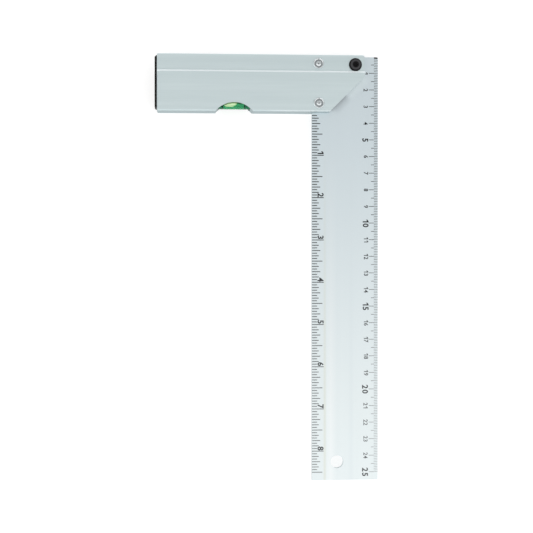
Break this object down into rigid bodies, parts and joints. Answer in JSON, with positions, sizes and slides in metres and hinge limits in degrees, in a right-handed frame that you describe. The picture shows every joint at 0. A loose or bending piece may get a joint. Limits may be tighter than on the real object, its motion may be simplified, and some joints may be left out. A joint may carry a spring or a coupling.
{
  "type": "carpenter square",
  "caption": "Try and mitre square: flat graduated blade riveted in a slotted, hollow aluminium stock with a spirit vial behind a window and a mitred end.",
  "frame": {"origin": "middle of the whole square in plan, at its rear face, on which it lies", "axes": "+X along the stock from the capped end to the blade, +Y along the blade from its free end to the stock, +Z through the thickness to the graduated front face"},
  "size_m": [0.1338, 0.2548, 0.0169],
  "materials": {
    "anodised_stock": "matt silver anodised extrusion",
    "anodised_blade": "satin silver anodised strip, drawn lengthwise",
    "black_plastic": "moulded, satin",
    "rivet_metal": "pressed, bright",
    "spacer_metal": "plain turned tube",
    "blackened_steel": "black oxide",
    "clear_acrylic": "polished",
    "plug_plastic": "clear moulded",
    "marker_black": "printed band",
    "green_fluid": "liquid",
    "bubble": "gas bubble"
  },
  "bodies": {
    "square": {"stock": "anodised_stock", "blade": "anodised_blade", "end_cap": "black_plastic", "upper_rivet": "rivet_metal", "lower_rivet": "rivet_metal", "upper_front_spacer": "spacer_metal", "upper_rear_spacer": "spacer_metal", "lower_front_spacer": "spacer_metal", "lower_rear_spacer": "spacer_metal", "clamp_screw": "blackened_steel", "clamp_nut": "blackened_steel", "screw_front_spacer": "spacer_metal", "screw_rear_spacer": "spacer_metal", "vial_tube": "clear_acrylic", "vial_plug": "plug_plastic", "left_marker_ring": "marker_black", "right_marker_ring": "marker_black", "vial_fluid": "green_fluid"},
    "bubble": {"vial_bubble": "bubble"}
  },
  "joints": [
    {"name": "bubble_travel", "type": "slide", "parent": "square", "child": "bubble", "axis": [1, 0, 0], "range_m": [-0.0084, 0.0096]}
  ]
}
